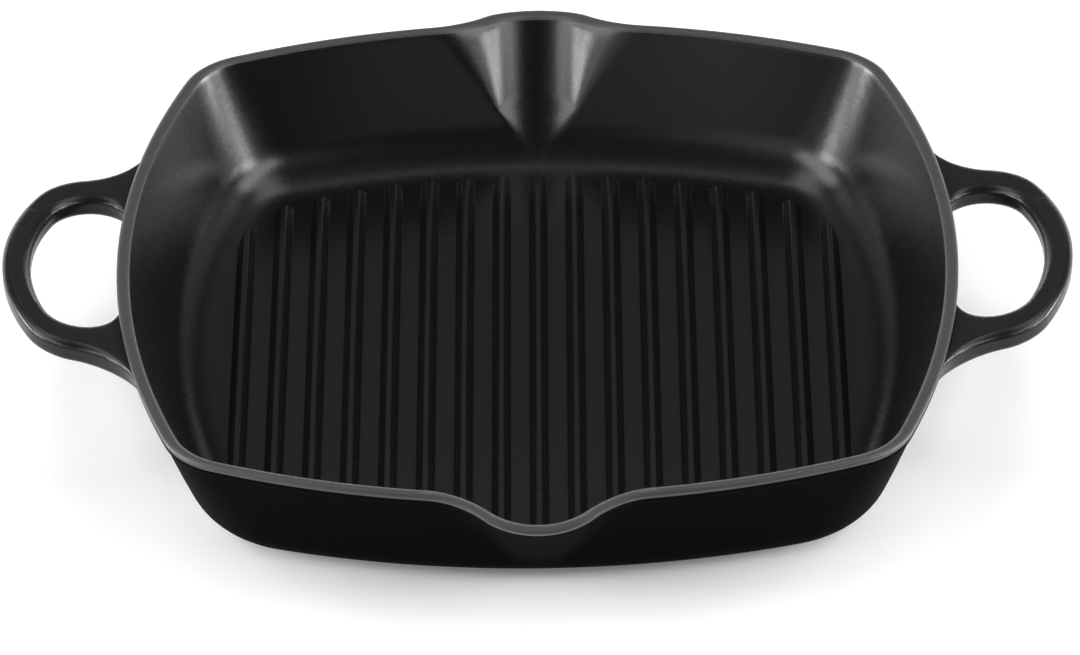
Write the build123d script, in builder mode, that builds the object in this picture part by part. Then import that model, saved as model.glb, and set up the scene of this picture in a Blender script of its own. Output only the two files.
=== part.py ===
from build123d import *
from collections import namedtuple
from math import asin, atan2, cos, degrees, floor, pi, sin, sqrt
import os

# A square cast-iron grill pan with two loop handles and two pouring spouts, in millimetres.
# The origin is the middle of the underside, where the pan stands. +Z is up, the handles lie along X,
# and the spouts and the sear ribs along Y.
# The real pan is one enamelled casting. These are the sections of that casting, which meet face to face.

# Pan body
rim_width = 300.4  # over the rim from side to side, without the handles
pan_height = 50.5  # from the table to the top of the rim
wall_lean = 21.2  # how far the rim stands out beyond the foot, as if the foot weren't rounded
floor_thickness = 5.0
wall_thickness = 4.5  # measured level, at the height of the floor
rim_bow_radius = 316.0  # each side bows outwards a little in plan
base_bow_radius = 347.0
floor_bow_radius = 338.0
rim_corner_radius = 29.0
base_corner_radius = 47.5
floor_corner_radius = 40.0
outer_foot_radius = 21.0
inner_foot_radius = 20.0

# Rim, a flat-topped band that stands a little proud of the wall
rim_thickness = 4.4
rim_depth = 4.0
rim_step = 0.8
rim_draft = 0.6  # how far the band's outer face leans in over its depth
rim_edge_radius = 0.7

# Spouts, one at the front and one at the back
spout_reach = 16.8  # how far the lip stands beyond the rim
spout_dip = 3.8  # how far the lip lies below the rim
spout_lip_radius = 30.0
spout_shoulder_radius = 30.0
spout_root_share = 0.03  # of its size at the rim, where the flute fades out at the foot of the wall

# Sear ribs
rib_pitch = 13.4
rib_width = 6.0
rib_crest_width = 2.4
rib_crest_radius = 0.8
rib_height = 4.5
rib_end_gap = 3.7  # in plan, from the end of the middle rib's crest to the foot of the wall
rib_end_run = 3.0  # how far a rib's end slopes in over the rib's height
rib_end_bow_radius = 250.0  # of the line that the crests end on
rib_end_corner_radius = 40.0
rib_side_gap = 1.0  # from the outermost rib to the side of that line

# Loop handles
handle_reach = 40.8  # beyond the rim
handle_thickness = 8.1
handle_bar_width = 10.1  # at the loop's outer end
handle_side_width = 14.4  # beside the finger gap
handle_half_width = 53.3
handle_edge_radius = 2.1
handle_drop = 7.4  # from the top of the rim down to the middle of the bar at its root
handle_sweep_radius = 415.0  # the loop curves gently upwards on its way out

# The loop's arcs grow with its reach, and those of the opening for the fingers with the opening's depth.
# A corner's radius, how far its centre lies beyond the rim, and the radius of the flare into the wall
handle_corner_share = 0.61
handle_corner_out_share = 0.21
handle_flare_share = 0.87
opening_corner_share = 0.534
opening_corner_out_share = 0.311
opening_flare_share = 0.45

foot_steps = 7  # sections through a rounded foot
cut_overrun = 2.0  # how far a cutting solid runs past what it cuts

# A level cut through the pan: a square with bowed sides and round corners, where the front and the back
# side may run out into a spout. The sizes are half its width, the radii of its sides and its corners,
# how far a spout reaches out, and the radii of a spout's lip and its two shoulders.
Plan = namedtuple("Plan", "half bow corner reach lip shoulder")


def between(low, high, share):
    """The plan that lies a share of the way from one plan to another."""
    return Plan(*(start + (end - start) * share for start, end in zip(low, high)))


def inset(plan, distance):
    """The plan whose outline runs the same distance inside another's all the way round."""
    return Plan(plan.half - distance, plan.bow - distance, plan.corner - distance,
                plan.reach, plan.lip - distance, plan.shoulder + distance)


def bare(plan):
    """The same plan without its spouts."""
    return plan._replace(reach=0, lip=0, shoulder=0)


def spout_grown(plan, growth):
    """The same plan with its spouts at a share of their size, which may pass the whole of it."""
    return plan._replace(reach=plan.reach * growth, lip=plan.lip * growth, shoulder=plan.shoulder * growth)


def spout_arcs(plan):
    """Where a spout's shoulder arc is centred, from the side arc's centre, and where its arcs meet."""
    apart = plan.bow + plan.reach - plan.lip
    side_span = plan.bow + plan.shoulder
    lip_span = plan.lip + plan.shoulder
    along = (side_span ** 2 - lip_span ** 2 + apart ** 2) / (2 * apart)
    aside = sqrt(side_span ** 2 - along ** 2)
    return along, aside, degrees(atan2(aside, along)), degrees(atan2(aside, along - apart))


def outline(plan, level):
    """The closed outline of a plan, as a sketch at one level. One quarter is drawn and mirrored.
    Its corner arc is centred on the diagonal, where it touches both bowed sides."""
    back = plan.bow - plan.half
    corner_place = (sqrt(2 * (plan.bow - plan.corner) ** 2 - back ** 2) - back) / 2
    side_turn = degrees(atan2(corner_place, corner_place + back))
    with BuildSketch(Plane.XY.offset(level)) as cut:
        with BuildLine():
            CenterArc((-back, 0), plan.bow, 0, side_turn)
            CenterArc((corner_place, corner_place), plan.corner, side_turn, 90 - 2 * side_turn)
            if plan.reach == 0:
                CenterArc((0, -back), plan.bow, 90 - side_turn, side_turn)
            else:
                along, aside, side_end, lip_end = spout_arcs(plan)
                CenterArc((0, -back), plan.bow, 90 - side_turn, side_turn - side_end)
                CenterArc((aside, along - back), plan.shoulder, 270 - side_end, side_end - lip_end)
                CenterArc((0, plan.half + plan.reach - plan.lip), plan.lip, 90 - lip_end, lip_end)
            mirror(about=Plane.XZ)
            mirror(about=Plane.YZ)
        make_face()
    return cut.sketch


def foot_rise(slope, radius):
    """How far above its flat a rounded foot ends and the straight wall takes over."""
    return radius * (1 - sin(atan2(slope, 1)))


def foot_outlines(root_plan, slope, radius, level):
    """Outlines up a rounded foot, from its flat to the plan at its root, where the straight wall takes over."""
    arc = pi / 2 - atan2(slope, 1)
    outlines = []
    for step in range(foot_steps):
        turn = arc * step / (foot_steps - 1)
        plan = inset(root_plan, radius * (sin(arc) - sin(turn)))
        outlines.append(outline(plan, level + radius * (1 - cos(turn))))
    return outlines


def under_dipped_line(top):
    """Everything below a line across the pan that is level, but dips at the spouts."""
    spout_half = rim_bow_radius * sin(spout_arcs(rim_plan)[2] * pi / 180)
    dip_radius = (spout_half ** 2 + spout_dip ** 2) / (4 * spout_dip)
    dip_turn = degrees(2 * atan2(spout_dip, spout_half))
    side = rim_half + handle_reach
    with BuildPart() as region:
        with BuildSketch(Plane.XZ):
            with BuildLine():
                CenterArc((0, top - spout_dip + dip_radius), dip_radius, 270, dip_turn)
                CenterArc((spout_half, top - dip_radius), dip_radius, 90 + dip_turn, -dip_turn)
                Polyline((spout_half, top), (side, top), (side, -cut_overrun), (0, -cut_overrun))
                mirror(about=Plane.YZ)
            make_face()
        extrude(amount=side, both=True)
    return region.part


# The pan's plans, from the rim down to the floor
rim_half = rim_width / 2
rim_plan = Plan(rim_half, rim_bow_radius, rim_corner_radius, spout_reach, spout_lip_radius, spout_shoulder_radius)
wall_top = pan_height - rim_depth
wall_top_plan = inset(rim_plan, rim_draft + rim_step)
base_plan = Plan(rim_half - wall_lean, base_bow_radius, base_corner_radius, 0, 0, 0)
wall_slope = (wall_top_plan.half - base_plan.half) / wall_top
wall_root = foot_rise(wall_slope, outer_foot_radius)
wall_root_plan = bare(between(base_plan, wall_top_plan, wall_root / wall_top))
cavity_top_plan = inset(rim_plan, rim_thickness)
cavity_base_half = base_plan.half + wall_slope * floor_thickness - wall_thickness
cavity_base_plan = Plan(cavity_base_half, floor_bow_radius, floor_corner_radius, 0, 0, 0)
cavity_slope = (cavity_top_plan.half - cavity_base_half) / (pan_height - floor_thickness)
cavity_rise = foot_rise(cavity_slope, inner_foot_radius)
cavity_root = floor_thickness + cavity_rise
cavity_root_plan = bare(between(cavity_base_plan, cavity_top_plan, cavity_rise / (pan_height - floor_thickness)))


def wall_outline(low, high, low_level, high_level, root_level, level):
    """An outline of a straight wall at one level. Its spouts grow from their root up to the rim."""
    plan = between(low, high, (level - low_level) / (high_level - low_level))
    full = plan._replace(reach=high.reach, lip=high.lip, shoulder=high.shoulder)
    risen = (level - root_level) / (pan_height - root_level)
    return outline(spout_grown(full, spout_root_share + (1 - spout_root_share) * risen), level)


with BuildPart() as outer_block:
    loft(foot_outlines(wall_root_plan, wall_slope, outer_foot_radius, 0), ruled=True)
    loft([wall_outline(base_plan, wall_top_plan, 0, wall_top, wall_root, level)
          for level in (wall_root, wall_top)], ruled=True)

with BuildPart() as cavity:
    loft(foot_outlines(cavity_root_plan, cavity_slope, inner_foot_radius, floor_thickness), ruled=True)
    loft([wall_outline(cavity_base_plan, cavity_top_plan, floor_thickness, pan_height, cavity_root, level)
          for level in (cavity_root, pan_height + cut_overrun)], ruled=True)

band_base = wall_top - spout_dip - cut_overrun
band_base_plan = inset(rim_plan, rim_draft * (pan_height - band_base) / rim_depth)
with BuildPart() as band_block:
    loft([wall_outline(band_base_plan, rim_plan, band_base, pan_height, wall_root, level)
          for level in (band_base, pan_height)], ruled=True)

os.makedirs("parts", exist_ok=True)

# Floor plate, the flat bottom that carries the ribs
floor_plan = inset(cavity_root_plan, inner_foot_radius * cos(atan2(cavity_slope, 1)))
with BuildPart() as floor_plate:
    extrude(outline(floor_plan, 0), amount=floor_thickness)
    add(outer_block.part, mode=Mode.INTERSECT)
floor_plate.part.label = "floor_plate"
export_step(floor_plate.part, "parts/floor_plate.step")

# Side wall, with its rounded foot and the flutes of both spouts
with BuildPart() as side_wall:
    add(outer_block.part)
    add(cavity.part, mode=Mode.SUBTRACT)
    add(floor_plate.part, mode=Mode.SUBTRACT)
    add(under_dipped_line(wall_top), mode=Mode.INTERSECT)
side_wall.part.label = "side_wall"
export_step(side_wall.part, "parts/side_wall.step")

# Rim band, which dips at the spouts
with BuildPart() as rim_band:
    add(band_block.part)
    add(cavity.part, mode=Mode.SUBTRACT)
    add(under_dipped_line(pan_height), mode=Mode.INTERSECT)
    add(under_dipped_line(wall_top), mode=Mode.SUBTRACT)
    top_faces = faces().filter_by(lambda face: face.normal_at().Z > cos(pi / 4))
    fillet(top_faces.edges() - edges().filter_by(GeomType.LINE), radius=rim_edge_radius)
rim_band.part.label = "rim_band"
export_step(rim_band.part, "parts/rim_band.step")

# Sear ribs, as many as the floor has room for. Their ends slope down along one outline, and the outermost
# ones run up onto the foot of the wall.
ribs_each_side = floor((floor_plan.half - rib_width / 2) / rib_pitch)
rib_side = ribs_each_side * rib_pitch + rib_width / 2 + rib_side_gap


def rib_end_outline(growth, level):
    """The closed outline that the ribs' ends follow at one level, grown by a distance all the way round."""
    half = floor_plan.half - rib_end_gap + growth
    bow = rib_end_bow_radius + growth
    corner = rib_end_corner_radius + growth
    side = rib_side + growth
    rise = sqrt((bow - corner) ** 2 - (side - corner) ** 2)
    corner_y = rise - bow + half
    turn = degrees(atan2(rise, side - corner))
    with BuildSketch(Plane.XY.offset(level)) as cut:
        with BuildLine():
            Line((side, 0), (side, corner_y))
            CenterArc((side - corner, corner_y), corner, 0, turn)
            CenterArc((0, half - bow), bow, turn, 90 - turn)
            mirror(about=Plane.XZ)
            mirror(about=Plane.YZ)
        make_face()
    return cut.sketch


with BuildPart() as rib_field:
    loft([rib_end_outline(rib_end_run, floor_thickness),
          rib_end_outline(0, floor_thickness + rib_height)], ruled=True)
    add(cavity.part, mode=Mode.INTERSECT)

for number in range(-ribs_each_side, ribs_each_side + 1):
    middle = number * rib_pitch
    with BuildPart() as sear_rib:
        with BuildSketch(Plane.XZ):
            with BuildLine():
                Polyline((middle - rib_width / 2, floor_thickness),
                         (middle + rib_width / 2, floor_thickness),
                         (middle + rib_crest_width / 2, floor_thickness + rib_height),
                         (middle - rib_crest_width / 2, floor_thickness + rib_height), close=True)
            make_face()
            fillet(vertices().sort_by(Axis.Y)[-2:], radius=rib_crest_radius)
        extrude(amount=rim_half, both=True)
        add(rib_field.part, mode=Mode.INTERSECT)
    name = f"sear_rib_{number + ribs_each_side + 1:02d}"
    sear_rib.part.label = name
    export_step(sear_rib.part, f"parts/{name}.step")

# Loop handles. A loop is drawn in plan from arcs that touch each other, and its flares touch the wall.
handle_height = pan_height - handle_drop
loop_wall_plan = between(base_plan, wall_top_plan, handle_height / wall_top)
wall_centre = Vector(loop_wall_plan.half - loop_wall_plan.bow, 0)
loop_inner = rim_half - 2 * handle_bar_width


def touching(first, first_distance, second, second_distance):
    """The upper one of the two points that lie at given distances from two others."""
    apart = second - first
    along = (apart.length ** 2 + first_distance ** 2 - second_distance ** 2) / (2 * apart.length)
    aside = sqrt(first_distance ** 2 - along ** 2)
    return first + apart.normalized() * along + apart.normalized().rotate(Axis.Z, 90) * aside


def heading(start, end):
    """The direction from one point to another, in degrees from 0 up to 360."""
    return degrees(atan2(end.Y - start.Y, end.X - start.X)) % 360


def loop_outline(tip, half_width, corner_radius, corner_out, flare_radius, bends_back):
    """A loop's outline, with an arc round its tip, corner arcs, and flares that bend back or bend on."""
    corner_centre = Vector(rim_half + corner_out, half_width - corner_radius)
    ahead = tip - corner_centre.X
    end_radius = (ahead ** 2 + corner_centre.Y ** 2 - corner_radius ** 2) / (2 * (ahead - corner_radius))
    end_centre = Vector(tip - end_radius, 0)
    corner_span = corner_radius + flare_radius if bends_back else corner_radius - flare_radius
    flare_centre = touching(wall_centre, loop_wall_plan.bow + flare_radius, corner_centre, corner_span)
    corner_start = heading(end_centre, corner_centre)
    corner_end = heading(corner_centre, flare_centre)
    flare_start = heading(flare_centre, corner_centre) if bends_back else corner_end
    flare_end = heading(flare_centre, wall_centre)
    with BuildSketch() as loop:
        with BuildLine():
            CenterArc(end_centre, end_radius, 0, corner_start)
            CenterArc(corner_centre, corner_radius, corner_start, corner_end - corner_start)
            CenterArc(flare_centre, flare_radius, flare_start, flare_end - flare_start)
            toe = flare_centre + Vector(flare_radius, 0).rotate(Axis.Z, flare_end)
            Polyline(toe, (loop_inner, toe.Y), (loop_inner, 0))
            mirror(about=Plane.XZ)
        make_face()
    return loop.sketch


loop_tip = rim_half + handle_reach
loop_sketch = loop_outline(loop_tip, handle_half_width, handle_reach * handle_corner_share,
                           handle_reach * handle_corner_out_share, handle_reach * handle_flare_share,
                           bends_back=True)
opening_depth = handle_reach - handle_bar_width
opening_sketch = loop_outline(rim_half + opening_depth, handle_half_width - handle_side_width,
                              opening_depth * opening_corner_share, opening_depth * opening_corner_out_share,
                              opening_depth * opening_flare_share, bends_back=False)
sweep_low = handle_sweep_radius + handle_thickness / 2
sweep_high = handle_sweep_radius - handle_thickness / 2
sweep_turn = degrees(asin((loop_tip + cut_overrun - loop_inner) / sweep_high))

with BuildPart() as handle_right:
    with BuildSketch(Plane.XZ):
        with BuildLine():
            sweep_centre = (loop_inner, handle_height + handle_sweep_radius)
            low = CenterArc(sweep_centre, sweep_low, 270, sweep_turn)
            high = CenterArc(sweep_centre, sweep_high, 270, sweep_turn)
            Line(low @ 0, high @ 0)
            Line(low @ 1, high @ 1)
        make_face()
    extrude(amount=rim_half, both=True)
    extrude(loop_sketch, amount=2 * pan_height, mode=Mode.INTERSECT)
    extrude(opening_sketch, amount=2 * pan_height, mode=Mode.SUBTRACT)
    straight = edges().filter_by(GeomType.LINE) + edges().filter_by(GeomType.CIRCLE)
    fillet(edges() - straight, radius=handle_edge_radius)
    add(outer_block.part, mode=Mode.SUBTRACT)
    add(band_block.part, mode=Mode.SUBTRACT)
handle_right.part.label = "handle_right"
export_step(handle_right.part, "parts/handle_right.step")

with BuildPart() as handle_left:
    mirror(handle_right.part, about=Plane.YZ)
handle_left.part.label = "handle_left"
export_step(handle_left.part, "parts/handle_left.step")
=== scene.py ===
from collections import namedtuple
from math import asin, atan2, cos, pi, radians, sin, sqrt, tan

import bmesh
import bpy
from mathutils import Matrix, Vector


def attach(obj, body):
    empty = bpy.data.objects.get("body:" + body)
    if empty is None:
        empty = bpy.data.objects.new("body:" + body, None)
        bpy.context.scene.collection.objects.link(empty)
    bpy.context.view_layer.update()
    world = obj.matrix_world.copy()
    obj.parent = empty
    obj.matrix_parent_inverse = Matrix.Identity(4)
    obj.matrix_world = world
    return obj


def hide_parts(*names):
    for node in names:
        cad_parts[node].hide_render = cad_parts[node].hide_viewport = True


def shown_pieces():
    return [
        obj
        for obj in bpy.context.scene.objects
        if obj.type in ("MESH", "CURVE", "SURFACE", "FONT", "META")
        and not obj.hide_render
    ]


# A square cast-iron grill pan, enamelled black. Its sizes are in millimetres, as in the part's source,
# and turn to metres where a mesh is made.
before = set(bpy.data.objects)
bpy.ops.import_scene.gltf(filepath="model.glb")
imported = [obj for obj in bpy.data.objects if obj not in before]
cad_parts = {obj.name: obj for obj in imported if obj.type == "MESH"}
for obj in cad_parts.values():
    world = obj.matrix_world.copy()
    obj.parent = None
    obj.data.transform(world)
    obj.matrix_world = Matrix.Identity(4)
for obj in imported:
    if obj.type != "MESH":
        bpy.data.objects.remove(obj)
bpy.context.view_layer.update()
millimetre = 0.001

# Pan body
rim_half = 150.2
pan_height = 50.5
wall_lean = 21.2
floor_thickness = 5.0
wall_thickness = 4.5
rim_bow_radius = 316.0
base_bow_radius = 347.0
floor_bow_radius = 338.0
rim_corner_radius = 29.0
base_corner_radius = 47.5
floor_corner_radius = 40.0
outer_foot_radius = 21.0
inner_foot_radius = 20.0

# Rim band
rim_thickness = 4.4
rim_depth = 4.0
rim_step = 0.8
rim_draft = 0.6
rim_outer_round = (2.2, 1.3)  # how far the crowned top falls away across the band and down it
rim_inner_round = (2.2, 1.1)
rim_under_round = 0.35
floor_margin = 3.0  # how far the flat faces reach inside the feet's rounding

# Spouts
spout_reach = 18.74
spout_dip = 3.8
spout_lip_radius = 27.0
spout_shoulder_radius = 27.0
spout_root = 3.0  # the level at which a spout's flute begins
spout_crease_radius = 3.0  # to which the shoulders tighten towards the root
spout_crease_rate = 1.8  # how fast they tighten, over the flute's whole rise
spout_margin = 1.12  # how much wider than a spout the finely drawn stretch of the outline is

# Sear ribs
rib_pitch = 13.4
rib_width = 6.0
rib_crest_width = 2.4
rib_height = 4.5
ribs_each_side = 8
rib_end_gap = 3.7
rib_end_run = 3.0
rib_end_bow_radius = 250.0
rib_end_corner_radius = 40.0
rib_side_gap = 1.0
rib_flank_shares = (-0.35, 0.25, 0.7, 1.3)  # of a flank's run: where its hollow, straight and shoulder
# begin, and where the shoulder ends
rib_foot_margin = 0.9  # how far a rib's mesh reaches past its foot at the sides
rib_end_margin = 1.4
rib_end_stretch = 3.5  # of the crest, which is drawn as finely as the end
rib_bury = 0.05
rib_root_depth = 0.8
rib_steps = (22, 64)

# Loop handles
handle_reach = 40.8
handle_thickness = 8.1
handle_bar_width = 10.1
handle_side_width = 14.4
handle_half_width = 53.3
handle_round = (3.2, 2.6)  # how far the bar's rounded edges reach across it and down it
handle_height = 43.1
handle_sweep_radius = 415.0
handle_corner_share = 0.61
handle_corner_out_share = 0.21
handle_flare_share = 0.87
opening_corner_share = 0.534
opening_corner_out_share = 0.311
opening_flare_share = 0.45
handle_crown = 0.5  # how far the bar's top falls from its middle to its edges
handle_root_depth = 2.2
handle_lean_reach = 12.0  # how far from the wall the loop's roots lean with it
pad_half_length = 29.6  # of the shallow pad that stands on the bar's end
pad_rise = 0.2
pad_slope = 1.1
pad_margin = (2.0, 2.6)  # from the pad to the opening's edge of the bar, and to its outer edge

# A level cut through the pan: a square with bowed sides and round corners, whose front and back side may
# run out into a spout. The sizes are half its width, the radii of its sides and its corners, how far a
# spout reaches out, and the radii of a spout's lip and its two shoulders.
Plan = namedtuple("Plan", "half bow corner reach lip shoulder")


def between(low, high, share):
    """The plan that lies a share of the way from one plan to another."""
    return Plan(*(start + (end - start) * share for start, end in zip(low, high)))


def inset(plan, distance):
    """The plan whose outline runs the same distance inside another's all the way round."""
    return Plan(plan.half - distance, plan.bow - distance, plan.corner - distance,
                plan.reach, plan.lip - distance, plan.shoulder + distance)


def bare(plan):
    """The same plan without its spouts."""
    return plan._replace(reach=0, lip=0, shoulder=0)


def corner_arc(plan):
    """How far a corner's centre lies from both middle lines, and how far round each side's arc runs."""
    back = plan.bow - plan.half
    corner_at = (sqrt(2 * (plan.bow - plan.corner) ** 2 - back ** 2) - back) / 2
    return corner_at, atan2(corner_at, corner_at + back)


def spout_arcs(plan):
    """Where a spout's shoulder arc is centred, from the side arc's centre."""
    apart = plan.bow + plan.reach - plan.lip
    side_span = plan.bow + plan.shoulder
    lip_span = plan.lip + plan.shoulder
    along = (side_span ** 2 - lip_span ** 2 + apart ** 2) / (2 * apart)
    return along, sqrt(side_span ** 2 - along ** 2)


def spout_push(plan, aside):
    """How far a spout stands out from the bowed side, at a distance aside from its middle."""
    if plan.reach <= 0:
        return 0
    shoulder_along, shoulder_aside = spout_arcs(plan)
    if aside >= shoulder_aside * plan.bow / (plan.bow + plan.shoulder):
        return 0
    if aside > shoulder_aside * plan.lip / (plan.lip + plan.shoulder):
        edge = shoulder_along - sqrt(plan.shoulder ** 2 - (shoulder_aside - aside) ** 2)
    else:
        edge = plan.bow + plan.reach - plan.lip + sqrt(plan.lip ** 2 - aside ** 2)
    return edge - sqrt(plan.bow ** 2 - aside ** 2)


def on_outline(plan, station):
    """The point of a plan's first quarter at a station: 0 to 1 on the side, 1 to 2 round the corner,
    and 2 to 3 on the front, where the spout is."""
    back = plan.bow - plan.half
    corner_at, side_turn = corner_arc(plan)
    if station <= 1:
        turn = side_turn * station
        return plan.bow * cos(turn) - back, plan.bow * sin(turn)
    if station <= 2:
        turn = side_turn + (pi / 2 - 2 * side_turn) * (station - 1)
        return corner_at + plan.corner * cos(turn), corner_at + plan.corner * sin(turn)
    turn = side_turn * (3 - station)
    aside = plan.bow * sin(turn)
    return aside, plan.bow * cos(turn) - back + spout_push(plan, aside)


# The pan's plans, from the rim down to the floor
rim_plan = Plan(rim_half, rim_bow_radius, rim_corner_radius,
                spout_reach, spout_lip_radius, spout_shoulder_radius)
wall_top = pan_height - rim_depth
wall_top_plan = inset(rim_plan, rim_draft + rim_step)
base_plan = Plan(rim_half - wall_lean, base_bow_radius, base_corner_radius, 0, 0, 0)
wall_slope = (wall_top_plan.half - base_plan.half) / wall_top
wall_arc = pi / 2 - atan2(wall_slope, 1)
wall_root = outer_foot_radius * (1 - cos(wall_arc))
cavity_top_plan = inset(rim_plan, rim_thickness)
cavity_base_half = base_plan.half + wall_slope * floor_thickness - wall_thickness
cavity_base_plan = Plan(cavity_base_half, floor_bow_radius, floor_corner_radius, 0, 0, 0)
cavity_slope = (cavity_top_plan.half - cavity_base_half) / (pan_height - floor_thickness)
cavity_arc = pi / 2 - atan2(cavity_slope, 1)
cavity_root = floor_thickness + inner_foot_radius * (1 - cos(cavity_arc))

# How far a flute has grown at its lip's level, from 0 at its root to 1 at the rim
spout_lip_growth = 1 - spout_dip / (pan_height - spout_root)


def grown(plan, full, level):
    """The plan with its spouts as far out as they are at a level. A flute widens evenly from its root up to
    the rim and keeps the radius of its lip, while its shoulders are tight below and open out upwards."""
    growth = (level - spout_root) / (pan_height - spout_root)
    if growth <= 0:
        return bare(plan)
    open_share = min(1, 1 - spout_crease_rate * (spout_lip_growth - growth))
    shoulder = max(spout_crease_radius, full.shoulder * open_share)
    turn = asin(spout_half(full) * growth / plan.bow)
    along, aside = (plan.bow + shoulder) * cos(turn), (plan.bow + shoulder) * sin(turn)
    lip_centre = along - sqrt((full.lip + shoulder) ** 2 - aside ** 2)
    return plan._replace(reach=lip_centre + full.lip - plan.bow, lip=full.lip, shoulder=shoulder)


def wall_plan(level):
    """The outer wall's outline at a level."""
    return grown(between(base_plan, wall_top_plan, level / wall_top), wall_top_plan, level)


def band_plan(level):
    """The outline of the rim band's outer face at a level."""
    plan = inset(rim_plan, rim_draft * (pan_height - level) / rim_depth)
    return grown(plan, plan, level)


def cavity_plan(level):
    """The inner wall's outline at a level."""
    share = (level - floor_thickness) / (pan_height - floor_thickness)
    return grown(between(cavity_base_plan, cavity_top_plan, share), cavity_top_plan, level)


def spout_half(plan):
    """How far from its middle a spout leaves the bowed side."""
    return spout_arcs(plan)[1] * plan.bow / (plan.bow + plan.shoulder)


dip_half = spout_half(rim_plan)
dip_radius = (dip_half ** 2 + spout_dip ** 2) / (4 * spout_dip)


def dip_at(aside):
    """How far the rim dips at a distance from the spout's middle."""
    if aside >= dip_half:
        return 0
    if aside > dip_half / 2:
        return dip_radius - sqrt(dip_radius ** 2 - (dip_half - aside) ** 2)
    return spout_dip - dip_radius + sqrt(dip_radius ** 2 - aside ** 2)


def at_root(surface, full, root):
    """A foot's surface, which keeps the plan of the wall's root, with the flutes as they are at its level."""
    return lambda level: grown(surface(root), full, level)


# One ring of the casting's skin: the surface that it lies on, its level, how far inside that surface it
# runs, the share of the rim's dip that it follows, and the finish of the faces up to it.
Ring = namedtuple("Ring", "surface level inset dip finish")
outer_finish, cooking_finish, rim_finish = range(3)

foot_steps = 12
wall_steps = 20
under_steps = 2
round_steps = 9
rings = []
outer_foot = at_root(wall_plan, wall_top_plan, wall_root)
inner_foot = at_root(cavity_plan, cavity_top_plan, cavity_root)
outer_flat = outer_foot_radius * sin(wall_arc)
inner_flat = inner_foot_radius * sin(cavity_arc)
rings.append(Ring(outer_foot, 0, outer_flat + floor_margin, 0, outer_finish))
for step in range(foot_steps):
    turn = wall_arc * step / foot_steps
    rings.append(Ring(outer_foot, outer_foot_radius * (1 - cos(turn)),
                      outer_foot_radius * (sin(wall_arc) - sin(turn)), 0, outer_finish))
for step in range(wall_steps + 1):
    share = step / wall_steps
    rings.append(Ring(wall_plan, wall_root + (wall_top - wall_root) * share, 0, share ** 2, outer_finish))
for step in range(under_steps + 1):
    turn = pi / 2 * step / under_steps
    rings.append(Ring(band_plan, wall_top + rim_under_round * (1 - cos(turn)),
                      rim_under_round * (1 - sin(turn)), 1, outer_finish))
rings.append(Ring(band_plan, wall_top + rim_depth / 2, 0, 1, outer_finish))
for step in range(round_steps + 1):
    turn = pi / 2 * step / round_steps
    across, down = rim_outer_round
    rings.append(Ring(band_plan, pan_height - down * (1 - sin(turn)),
                      across * (1 - cos(turn)), 1, rim_finish))
for step in range(round_steps + 1):
    turn = pi / 2 * step / round_steps
    across, down = rim_inner_round
    rings.append(Ring(cavity_plan, pan_height - down * (1 - cos(turn)),
                      -across * (1 - sin(turn)), 1, rim_finish))
for step in range(1, wall_steps + 1):
    share = 1 - step / wall_steps
    rings.append(Ring(cavity_plan, cavity_root + (pan_height - rim_inner_round[1] - cavity_root) * share,
                      0, share ** 2, cooking_finish))
for step in range(1, foot_steps + 1):
    turn = cavity_arc * (1 - step / foot_steps)
    rings.append(Ring(inner_foot, floor_thickness + inner_foot_radius * (1 - cos(turn)),
                      inner_foot_radius * (sin(cavity_arc) - sin(turn)), 0, cooking_finish))
rings.append(Ring(inner_foot, floor_thickness, inner_flat + floor_margin, 0, cooking_finish))


def ring_point(ring, station):
    """Where a ring passes a station, once it has dipped with the rim."""
    aside = on_outline(ring.surface(ring.level), station)[0] if station > 2 else dip_half
    level = ring.level - ring.dip * dip_at(aside)
    x, y = on_outline(inset(ring.surface(level), ring.inset), station)
    return x, y, level


def of_kind(geometry, kind):
    """The vertices, edges or faces in what an operator gives back."""
    return [item for item in geometry if isinstance(item, kind)]


def as_piece(mesh, name):
    """The finished mesh as an object in metres, which rides on the pan."""
    bmesh.ops.scale(mesh, vec=Vector((millimetre,) * 3), verts=mesh.verts)
    data = bpy.data.meshes.new(name)
    mesh.to_mesh(data)
    mesh.free()
    data.polygons.foreach_set("use_smooth", [True] * len(data.polygons))
    piece = bpy.data.objects.new(name, data)
    bpy.context.scene.collection.objects.link(piece)
    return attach(piece, "root")


def draw_ring(mesh, ring, side_steps, corner_steps, front_steps, spout_steps):
    """The skin's first ring. A quarter is spun from one vertex and mirrored, and each vertex keeps its
    station."""
    plan = inset(ring.surface(ring.level), ring.inset)
    back = plan.bow - plan.half
    corner_at, side_turn = corner_arc(plan)
    spout_turn = asin(dip_half * spout_margin / rim_bow_radius)
    spans = [((-back, 0), side_turn, side_steps, 0, 1),
             ((corner_at, corner_at), pi / 2 - 2 * side_turn, corner_steps, 1, 2),
             ((0, -back), side_turn - spout_turn, front_steps, 2, 3 - spout_turn / side_turn),
             ((0, -back), spout_turn, spout_steps, 3 - spout_turn / side_turn, 3)]
    stations = mesh.verts.layers.float.new("station")
    end = mesh.verts.new((plan.half, 0, ring.level))
    for (x, y), turn, steps, low, high in spans:
        for step in range(steps):
            made = bmesh.ops.spin(mesh, geom=[end], cent=(x, y, ring.level), axis=(0, 0, 1),
                                  angle=turn / steps, steps=1, use_duplicate=False)
            end = of_kind(made["geom_last"], bmesh.types.BMVert)[0]
            end[stations] = low + (high - low) * (step + 1) / steps
    for axis in "XY":
        bmesh.ops.mirror(mesh, geom=mesh.verts[:] + mesh.edges[:], merge_dist=0.001, axis=axis)
    return stations


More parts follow.
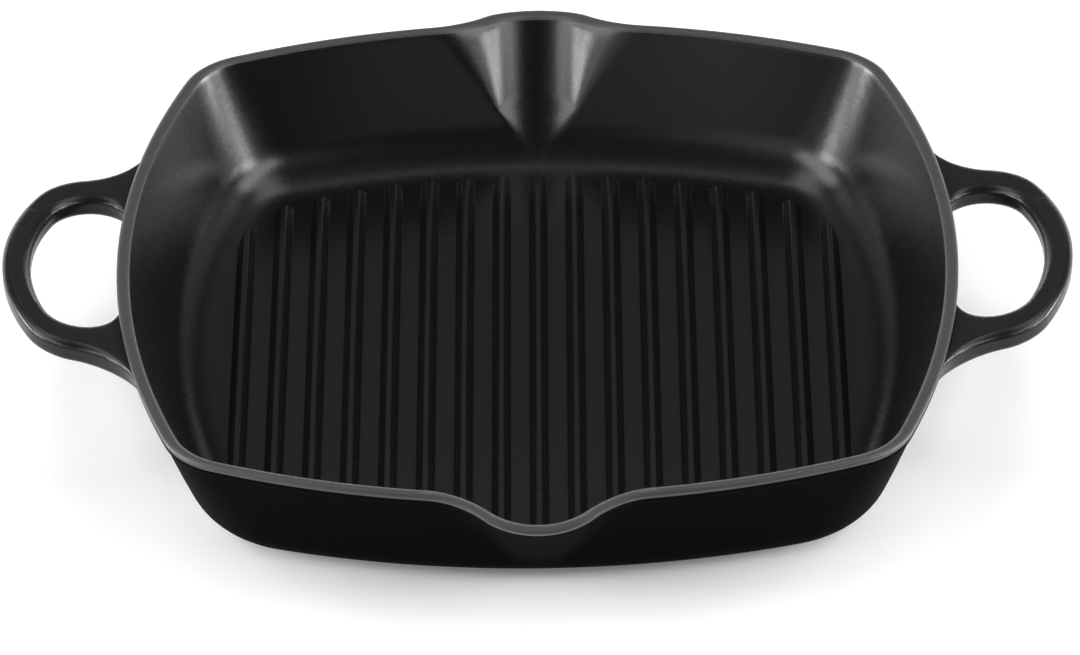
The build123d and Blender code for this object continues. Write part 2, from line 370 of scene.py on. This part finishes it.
casting = bmesh.new()
station_of = draw_ring(casting, rings[0], side_steps=48, corner_steps=22, front_steps=26, spout_steps=46)
edges = casting.edges[:]
bmesh.ops.contextual_create(casting, geom=edges)
for ring in rings[1:]:
    drawn = bmesh.ops.extrude_edge_only(casting, edges=edges)["geom"]
    edges = of_kind(drawn, bmesh.types.BMEdge)
    for vertex in of_kind(drawn, bmesh.types.BMVert):
        x, y, level = ring_point(ring, vertex[station_of])
        vertex.co = (x if vertex.co.x > 0 else -x, y if vertex.co.y > 0 else -y, level)
    for face in of_kind(drawn, bmesh.types.BMFace):
        face.material_index = ring.finish
floor_face = bmesh.ops.contextual_create(casting, geom=edges)["faces"][0]
floor_face.material_index = cooking_finish
casting.verts.layers.float.remove(station_of)
bmesh.ops.recalc_face_normals(casting, faces=casting.faces)
pan_casting = as_piece(casting, "pan_casting")
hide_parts("floor_plate", "side_wall", "rim_band")

# Sear ribs. Each is a grid that is raised into a bar with rounded edges, and closed below the floor.
inner_floor_half = cavity_plan(cavity_root).half - inner_flat
rib_side = ribs_each_side * rib_pitch + rib_width / 2 + rib_side_gap


def rib_end(aside):
    """How far from the pan's middle the crests end, at a distance aside."""
    bow_y = inner_floor_half - rib_end_gap - rib_end_bow_radius
    corner_x = rib_side - rib_end_corner_radius
    apart = rib_end_bow_radius - rib_end_corner_radius
    if aside <= corner_x * rib_end_bow_radius / apart:
        return bow_y + sqrt(rib_end_bow_radius ** 2 - aside ** 2)
    corner_y = bow_y + sqrt(apart ** 2 - corner_x ** 2)
    return corner_y + sqrt(rib_end_corner_radius ** 2 - (aside - corner_x) ** 2)


def rib_rise(distance, run):
    """The share of its height that a rib has at a distance inside its foot, over a flank with a given run.
    The flank is straight, with a rounded shoulder and a hollow where it leaves the floor."""
    share = distance / run
    hollow, straight, shoulder, crest = rib_flank_shares
    if share <= hollow:
        return 0
    if share < straight:
        return straight * ((share - hollow) / (straight - hollow)) ** 2
    if share < shoulder:
        return share
    if share < crest:
        return 1 - (crest - share) ** 2 / (2 * (crest - shoulder))
    return 1


for number in range(-ribs_each_side, ribs_each_side + 1):
    middle = number * rib_pitch
    rib = bmesh.new()
    bmesh.ops.create_grid(rib, x_segments=rib_steps[0], y_segments=rib_steps[1], size=1)
    flank = (rib_width - rib_crest_width) / 2
    for vertex in rib.verts:
        across, along = vertex.co.x, vertex.co.y
        aside = across * (rib_width / 2 + rib_foot_margin)
        x = middle + aside
        crest_end = rib_end(min(abs(x), rib_side - 0.5))
        reach = crest_end + rib_end_run + rib_end_margin
        inner = crest_end - rib_end_stretch
        # Half the rows lie close together, in the last stretch of the crest and down the end.
        share = 2 * abs(along)
        y = share * inner if share < 1 else inner + (reach - inner) * (share - 1)
        rise = min(rib_rise(rib_width / 2 - abs(aside), flank),
                   rib_rise(crest_end + rib_end_run - y, rib_end_run))
        vertex.co = (x, y if along > 0 else -y, floor_thickness - rib_bury + (rib_height + rib_bury) * rise)
    rim_edges = [edge for edge in rib.edges if edge.is_boundary]
    drawn = bmesh.ops.extrude_edge_only(rib, edges=rim_edges)["geom"]
    bmesh.ops.translate(rib, vec=(0, 0, -rib_root_depth), verts=of_kind(drawn, bmesh.types.BMVert))
    bmesh.ops.contextual_create(rib, geom=of_kind(drawn, bmesh.types.BMEdge))
    bmesh.ops.recalc_face_normals(rib, faces=rib.faces)
    name = f"sear_rib_{number + ribs_each_side + 1:02d}"
    piece = as_piece(rib, name.replace("sear_rib", "cast_rib"))
    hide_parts(name)

# Loop handles. Sections are drawn out along the loop, from one root to the other.
loop_tip = rim_half + handle_reach
loop_inner = rim_half - 2 * handle_bar_width
loop_wall_plan = between(base_plan, wall_top_plan, handle_height / wall_top)
wall_centre = Vector((loop_wall_plan.half - loop_wall_plan.bow, 0))


def touching(first, first_distance, second, second_distance):
    """The upper one of the two points that lie at given distances from two others."""
    apart = second - first
    along = (apart.length ** 2 + first_distance ** 2 - second_distance ** 2) / (2 * apart.length)
    aside = sqrt(first_distance ** 2 - along ** 2)
    ahead = apart.normalized()
    return first + ahead * along + Vector((-ahead.y, ahead.x)) * aside


def heading(start, end):
    """The direction from one point to another, from 0 up to a full turn."""
    return atan2(end.y - start.y, end.x - start.x) % (2 * pi)


def loop_arcs(tip, half_width, corner_radius, corner_out, flare_radius, bends_back):
    """The arcs of half a loop's outline, from its tip to the wall: centre, radius, start and end."""
    corner_centre = Vector((rim_half + corner_out, half_width - corner_radius))
    ahead = tip - corner_centre.x
    end_radius = (ahead ** 2 + corner_centre.y ** 2 - corner_radius ** 2) / (2 * (ahead - corner_radius))
    end_centre = Vector((tip - end_radius, 0))
    corner_span = corner_radius + flare_radius if bends_back else corner_radius - flare_radius
    flare_centre = touching(wall_centre, loop_wall_plan.bow + flare_radius, corner_centre, corner_span)
    corner_start = heading(end_centre, corner_centre)
    corner_end = heading(corner_centre, flare_centre)
    flare_start = heading(flare_centre, corner_centre) if bends_back else corner_end
    return [(end_centre, end_radius, 0, corner_start),
            (corner_centre, corner_radius, corner_start, corner_end),
            (flare_centre, flare_radius, flare_start, heading(flare_centre, wall_centre))]


def on_arc(arc, share):
    """The point a share of the way along an arc."""
    centre, radius, start, end = arc
    turn = start + (end - start) * share
    return centre + Vector((cos(turn), sin(turn))) * radius


def sweep_level(x, lift):
    """The level of a point of the loop at x, a lift above the bar's middle. The loop curves upwards."""
    radius = handle_sweep_radius - lift
    return handle_height + handle_sweep_radius - sqrt(radius ** 2 - (x - loop_inner) ** 2)


def bar_section(spot, half_width, half_height):
    """A point of the bar's section, an oblong with rounded corners. Spots 0 to 1 lie round the corner that
    is outer and high, 1 to 2 along the top, and so on round to 8."""
    across, down = handle_round
    quarter, share = divmod(spot, 2)
    out = 1 if quarter in (0, 3) else -1
    high = 1 if quarter < 2 else -1
    if share < 1:
        turn = pi / 2 * (quarter + share)
        return Vector((out * (half_width - across) + across * cos(turn),
                       high * (half_height - down) + down * sin(turn)))
    run = share - 1
    if quarter % 2 == 0:
        return Vector(((half_width - across) * (1 - 2 * run) * high, high * half_height))
    return Vector((out * half_width, (half_height - down) * (1 - 2 * run) * -out))


def step_up(distance, slope):
    """The share of a pad's rise at a distance inside its edge."""
    share = min(1, max(0, distance / slope))
    return share * share * (3 - 2 * share)


loop_steps = (56, 36, 26)  # along the end, round the corner and along the flare
opening_depth = handle_reach - handle_bar_width
outer_arcs = loop_arcs(loop_tip, handle_half_width, handle_reach * handle_corner_share,
                       handle_reach * handle_corner_out_share, handle_reach * handle_flare_share,
                       bends_back=True)
inner_arcs = loop_arcs(rim_half + opening_depth, handle_half_width - handle_side_width,
                       opening_depth * opening_corner_share, opening_depth * opening_corner_out_share,
                       opening_depth * opening_flare_share, bends_back=False)
half_loop = []
for outer_arc, inner_arc, steps in zip(outer_arcs, inner_arcs, loop_steps):
    for step in range(steps):
        half_loop.append((on_arc(outer_arc, step / steps), on_arc(inner_arc, step / steps)))
half_loop.append((on_arc(outer_arcs[-1], 1), on_arc(inner_arcs[-1], 1)))
buried = Vector((-handle_root_depth, 0))
half_loop.append((half_loop[-1][0] + buried, half_loop[-1][1] + buried))
mirrored = [(Vector((outer.x, -outer.y)), Vector((inner.x, -inner.y))) for outer, inner in half_loop[1:]]
loop_stations = mirrored[::-1] + half_loop


def place_section(vertices, spot_of, outer, inner):
    """Lays a section across the loop, between a point of its outer outline and one of its inner outline."""
    middle, across = (outer + inner) / 2, (outer - inner) / 2
    half_width, half_height = across.length, handle_thickness / 2
    for vertex in vertices:
        section = bar_section(vertex[spot_of], half_width, half_height)
        spot = middle + across * (section.x / half_width)
        if section.y > 0:
            section.y *= 1 - handle_crown / half_height * (section.x / half_width) ** 2
        if section.y > 0 and spot.x > loop_inner + handle_reach:
            section.y += (pad_rise * step_up(pad_half_length - abs(spot.y), pad_slope)
                          * step_up(half_width + section.x - pad_margin[0], pad_slope)
                          * step_up(half_width - section.x - pad_margin[1], pad_slope))
        level = sweep_level(spot.x, section.y)
        wall = wall_centre.x + sqrt(loop_wall_plan.bow ** 2 - spot.y ** 2)
        nearness = max(0, 1 - max(0, spot.x - wall) / handle_lean_reach)
        lean = wall_slope * (level - handle_height) * nearness ** 2
        vertex.co = (spot.x + lean, spot.y, level)


for side, name in ((1, "handle_right"), (-1, "handle_left")):
    loop = bmesh.new()
    spot_of = loop.verts.layers.float.new("spot")
    bmesh.ops.create_circle(loop, segments=64, radius=1)
    for vertex in loop.verts:
        vertex[spot_of] = atan2(vertex.co.y, vertex.co.x) % (2 * pi) / (2 * pi) * 8
    place_section(loop.verts[:], spot_of, *loop_stations[0])
    edges = loop.edges[:]
    bmesh.ops.contextual_create(loop, geom=edges)
    for outer, inner in loop_stations[1:]:
        drawn = bmesh.ops.extrude_edge_only(loop, edges=edges)["geom"]
        edges = of_kind(drawn, bmesh.types.BMEdge)
        place_section(of_kind(drawn, bmesh.types.BMVert), spot_of, outer, inner)
    bmesh.ops.contextual_create(loop, geom=edges)
    loop.verts.layers.float.remove(spot_of)
    bmesh.ops.scale(loop, vec=(side, 1, 1), verts=loop.verts)
    bmesh.ops.recalc_face_normals(loop, faces=loop.faces)
    piece = as_piece(loop, name.replace("handle", "loop_handle"))
    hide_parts(name)


def linear(colour):
    """An sRGB hex colour as linear red, green, blue and alpha."""
    parts = [int(colour[at:at + 2], 16) / 255 for at in (1, 3, 5)]
    return [part / 12.92 if part <= 0.04045 else ((part + 0.055) / 1.055) ** 2.4 for part in parts] + [1]


def add_node(tree, kind, settings=None, inputs=None, links=None):
    """A node with its settings, the values of its inputs, and the sockets that feed it."""
    node = tree.nodes.new(kind)
    for name, value in (settings or {}).items():
        setattr(node, name, value)
    for name, value in (inputs or {}).items():
        node.inputs[name].default_value = value
    for name, socket in (links or {}).items():
        tree.links.new(socket, node.inputs[name])
    return node


def enamel(name, colour, roughness, gloss, wave, depth):
    """Porcelain enamel, sprayed on cast iron and fired: black glass, whose skin has waves a few millimetres
    apart. The gloss is the shader's specular level, 0.5 for clear glass and less for a matt, porous skin."""
    material = bpy.data.materials.new(name)
    material.use_nodes = True
    tree = material.node_tree
    tree.nodes.clear()
    spread = 0.03
    position = add_node(tree, "ShaderNodeTexCoord")
    peel = add_node(tree, "ShaderNodeTexNoise", inputs={"Scale": 1 / (wave * millimetre), "Detail": 2.0},
                    links={"Vector": position.outputs["Object"]})
    bump = add_node(tree, "ShaderNodeBump", inputs={"Strength": 1.0, "Distance": depth * millimetre},
                    links={"Height": peel.outputs["Fac"]})
    mottle = add_node(tree, "ShaderNodeMapRange",
                      inputs={"To Min": roughness - spread, "To Max": roughness + spread},
                      links={"Value": peel.outputs["Fac"]})
    surface = add_node(tree, "ShaderNodeBsdfPrincipled",
                       inputs={"Base Color": linear(colour), "IOR": 1.5, "Specular IOR Level": gloss},
                       links={"Roughness": mottle.outputs["Result"], "Normal": bump.outputs["Normal"]})
    add_node(tree, "ShaderNodeOutputMaterial", links={"Surface": surface.outputs["BSDF"]})
    return material


# The outside is matt and deep black, the food side is matt but shines at a low angle, the rim is thinly
# coated and matt, with a grey base colour that is painted sheen standing in for the light its crown and edges
# catch, and the handles are satin. The last two numbers are the skin's waves, in millimetres: how far apart
# they are and how deep.
outer_enamel = enamel("matt_black_outer_enamel", "#0c0c0c", 0.5, 0.004, 2.5, 0.04)
cooking_enamel = enamel("matt_black_cooking_enamel", "#0b0b0b", 0.28, 0.5, 2.5, 0.035)
# Painted sheen: the rim's light grey base colour stands in for the highlights on its crown and edges.
rim_enamel_and_painted_sheen = enamel("thin_rim_enamel_and_painted_sheen", "#383838", 0.36, 0.5, 0.9, 0.07)
handle_enamel = enamel("satin_black_handle_enamel", "#141414", 0.27, 0.32, 2.5, 0.04)
for finish in (outer_enamel, cooking_enamel, rim_enamel_and_painted_sheen):
    pan_casting.data.materials.append(finish)
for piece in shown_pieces():
    if piece.name.startswith("cast_rib"):
        piece.data.materials.append(cooking_enamel)
    elif piece.name.startswith("loop_handle"):
        piece.data.materials.append(handle_enamel)

# Floor, a plain white sheet. Where it is seen or mirrored it is lifted to white by its own light, under
# which the pan's shadow stays.
floor_half = 6.0  # metres
floor_lift = 0.12
floor_gap = 0.05  # under the foot, so that the two faces never lie in one plane
sheet = bmesh.new()
bmesh.ops.create_grid(sheet, x_segments=1, y_segments=1, size=floor_half)
floor_data = bpy.data.meshes.new("floor")
sheet.to_mesh(floor_data)
sheet.free()
floor_sheet = bpy.data.objects.new("floor", floor_data)
floor_sheet.location.z = -floor_gap * millimetre
bpy.context.scene.collection.objects.link(floor_sheet)
paper = bpy.data.materials.new("white_paper")
paper.use_nodes = True
paper_tree = paper.node_tree
paper_tree.nodes.clear()
ray = add_node(paper_tree, "ShaderNodeLightPath")
seen = add_node(paper_tree, "ShaderNodeMath", {"operation": "MAXIMUM"})
paper_tree.links.new(ray.outputs["Is Camera Ray"], seen.inputs[0])
paper_tree.links.new(ray.outputs["Is Glossy Ray"], seen.inputs[1])
shown = add_node(paper_tree, "ShaderNodeMath", {"operation": "MAXIMUM"})
paper_tree.links.new(seen.outputs["Value"], shown.inputs[0])
paper_tree.links.new(ray.outputs["Is Transmission Ray"], shown.inputs[1])
lift = add_node(paper_tree, "ShaderNodeMath", {"operation": "MULTIPLY"})
paper_tree.links.new(shown.outputs["Value"], lift.inputs[0])
lift.inputs[1].default_value = floor_lift
glow = add_node(paper_tree, "ShaderNodeEmission", inputs={"Color": linear("#ffffff")},
                links={"Strength": lift.outputs["Value"]})
sheet_face = add_node(paper_tree, "ShaderNodeBsdfDiffuse", inputs={"Color": linear("#fbfbfb")})
lifted = add_node(paper_tree, "ShaderNodeAddShader")
paper_tree.links.new(sheet_face.outputs["BSDF"], lifted.inputs[0])
paper_tree.links.new(glow.outputs["Emission"], lifted.inputs[1])
add_node(paper_tree, "ShaderNodeOutputMaterial", links={"Surface": lifted.outputs["Shader"]})
floor_data.materials.append(paper)

# World: the studio's dim walls
wall_glow = 0.02
world = bpy.data.worlds.new("studio")
bpy.context.scene.world = world
world.use_nodes = True
sky = world.node_tree
sky.nodes.clear()
walls = add_node(sky, "ShaderNodeBackground", inputs={"Color": linear("#ffffff"), "Strength": wall_glow})
add_node(sky, "ShaderNodeOutputWorld", links={"Surface": walls.outputs["Background"]})


def softbox(name, azimuth, elevation, width, height, radiance):
    """A soft light that faces the pan from 2 m away, with its angles, width and height in degrees as the
    pan sees it. Azimuth 0 is the front and 90 the right."""
    distance = 2.0
    light = bpy.data.lights.new(name, "AREA")
    light.shape = "RECTANGLE"
    light.size = 2 * distance * tan(radians(width / 2))
    light.size_y = 2 * distance * tan(radians(height / 2))
    light.energy = radiance * pi * light.size * light.size_y
    lamp = bpy.data.objects.new(name, light)
    turn, tilt = radians(azimuth), radians(elevation)
    away = Vector((sin(turn) * cos(tilt), -cos(turn) * cos(tilt), sin(tilt)))
    lamp.location = away * distance
    lamp.rotation_mode = "QUATERNION"
    lamp.rotation_quaternion = away.to_track_quat("Z", "Y")
    lamp.visible_camera = False
    bpy.context.scene.collection.objects.link(lamp)


# The side lights make the streaks in the rear corners, the high ones the spout's bright flanks, the rear side
# ones the glow on the side walls, and the overhead ones light the floor round the pan. The backdrops are
# what the rim and the handles' top mirror, and the fills are what the rear wall mirrors.
for side, hand in ((-1, "left"), (1, "right")):
    softbox(f"side_light_{hand}", side * 79, 17, 16, 18, 16.0)
    softbox(f"high_light_{hand}", side * 81, 41, 58, 20, 5.0)
    softbox(f"rear_side_light_{hand}", side * 102, 7, 20, 10, 27.0)
    softbox(f"overhead_light_{hand}", side * 124, 62, 40, 18, 2.6)
softbox("backdrop", 180, 7, 96, 12, 2.6)
softbox("high_backdrop", 180, 42, 50, 24, 0.22)
softbox("front_fill", 0, 10, 44, 16, 0.5)
softbox("left_front_fill", -35, 25, 30, 30, 0.8)

# Camera, as the photograph was taken. The pan's aim point lies at aim_x, aim_y in the photo.
photo_width, photo_height = 1080, 655
focal_pixels = 7965
aim_x, aim_y = 538.1, 308.3
aim_point = Vector((0, 0, 0.025))
camera_distance = 2.857
sensor_width = 36.0
tilt, yaw, roll = radians(34.99), radians(-0.35), radians(-0.88)
back = Vector((-sin(yaw) * cos(tilt), -cos(yaw) * cos(tilt), sin(tilt)))
level_right = Vector((cos(yaw), -sin(yaw), 0))
level_up = back.cross(level_right)
right = level_right * cos(roll) + level_up * sin(roll)
up = level_up * cos(roll) - level_right * sin(roll)
camera_data = bpy.data.cameras.new("camera")
camera_data.sensor_width = sensor_width
camera_data.lens = focal_pixels / photo_width * sensor_width
camera_data.shift_x = (photo_width / 2 - aim_x) / photo_width
camera_data.shift_y = (aim_y - photo_height / 2) / photo_width
camera = bpy.data.objects.new("camera", camera_data)
camera_place = Matrix((right, up, back)).transposed().to_4x4()
camera_place.translation = aim_point + back * camera_distance
camera.matrix_world = camera_place
bpy.context.scene.collection.objects.link(camera)
bpy.context.scene.camera = camera
bpy.context.scene.view_settings.view_transform = "Standard"
